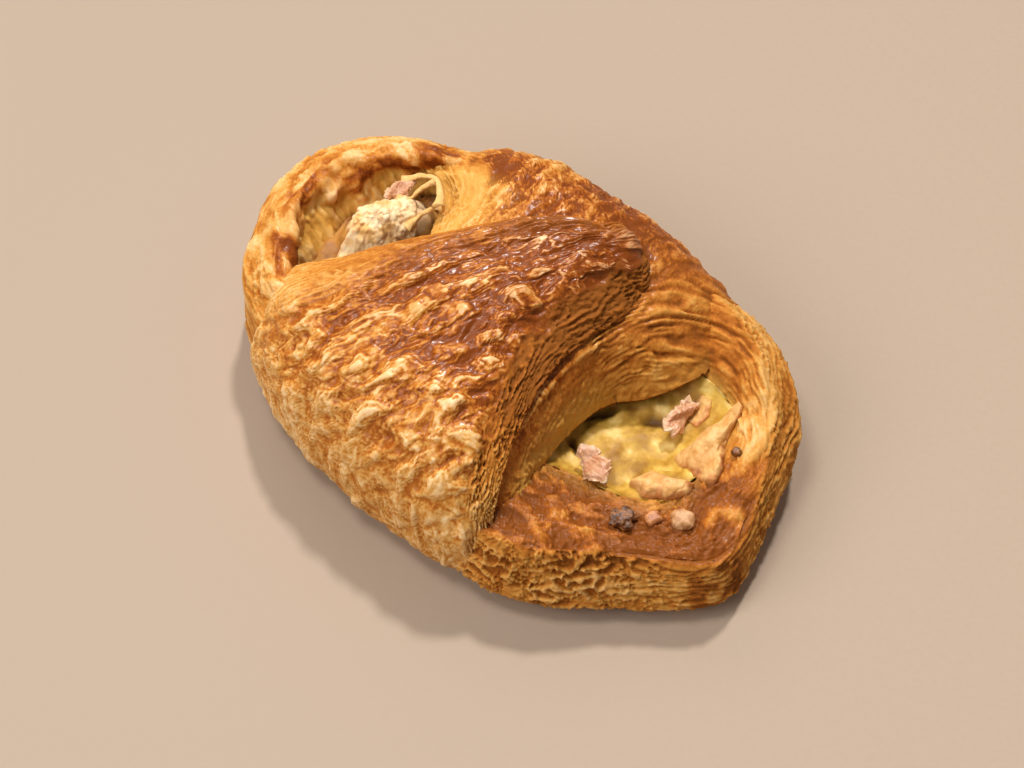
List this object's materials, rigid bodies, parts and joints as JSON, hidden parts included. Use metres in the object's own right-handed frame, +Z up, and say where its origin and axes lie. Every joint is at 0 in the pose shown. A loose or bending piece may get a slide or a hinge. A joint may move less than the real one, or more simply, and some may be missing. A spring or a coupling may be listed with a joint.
{
  "type": "ham and cheese croissant",
  "caption": "Baked laminated pastry with two corners folded over the middle, open at both ends, which show cheese sauce, melted cheese and ham.",
  "frame": {"origin": "on the surface that the croissant rests on, under the middle of its bounding box", "axes": "+X along the length from the raised end to the low end, +Z up, +Y across, towards the side whose corner was folded first"},
  "size_m": [0.1544, 0.1024, 0.0473],
  "materials": {
    "baked_dough": "flaky baked crust, egg-washed to a soft gloss on top",
    "cheese_sauce": "moist, soft gloss",
    "cooked_ham": "moist, soft gloss"
  },
  "bodies": {
    "root": {"pastry": "baked_dough", "filling": "cheese_sauce", "ham_flake": "cooked_ham", "ham_slice": "cooked_ham", "ham_strip": "cooked_ham"}
  },
  "joints": []
}
